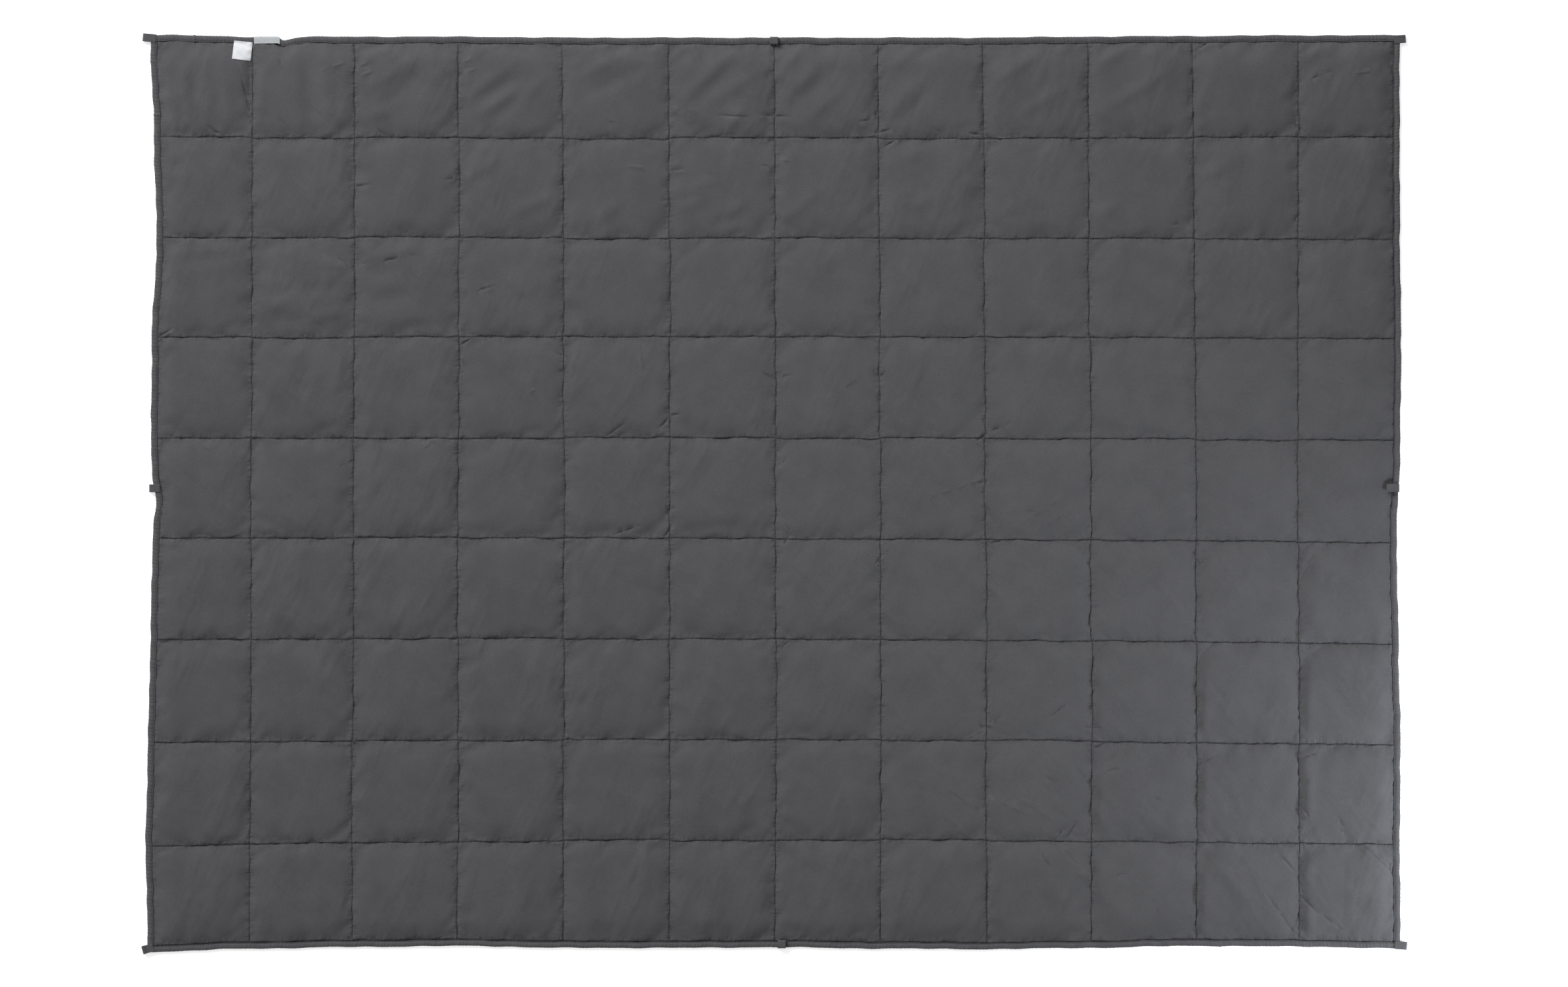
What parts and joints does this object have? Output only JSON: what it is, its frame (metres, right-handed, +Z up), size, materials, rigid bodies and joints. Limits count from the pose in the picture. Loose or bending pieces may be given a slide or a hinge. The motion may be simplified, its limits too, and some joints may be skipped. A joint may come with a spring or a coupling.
{
  "type": "weighted blanket",
  "caption": "Rectangular weighted blanket quilted into square filled pockets, with a bound edge, tape loops for tying it into a cover, and two bare labels.",
  "frame": {"origin": "centre of the blanket's outline on the surface that it lies on", "axes": "+X along the long side, +Y along the short side towards the labelled edge, +Z up off the surface"},
  "size_m": [2.0628, 1.499, 0.0143],
  "materials": {
    "brushed_cloth": "matte brushed weave",
    "binding_tape": "matte ribbed tape",
    "loop_tape": "matte woven tape",
    "white_satin": "soft sheen satin",
    "grey_ribbon": "matte heathered ribbon"
  },
  "bodies": {
    "root": {"quilt": "brushed_cloth", "binding_top": "binding_tape", "binding_bottom": "binding_tape", "binding_left": "binding_tape", "binding_right": "binding_tape", "tie_loop_top_left": "loop_tape", "tie_loop_top_middle": "loop_tape", "tie_loop_top_right": "loop_tape", "tie_loop_left": "loop_tape", "tie_loop_right": "loop_tape", "tie_loop_bottom_left": "loop_tape", "tie_loop_bottom_middle": "loop_tape", "tie_loop_bottom_right": "loop_tape", "care_label": "white_satin", "side_label": "grey_ribbon"}
  },
  "joints": []
}
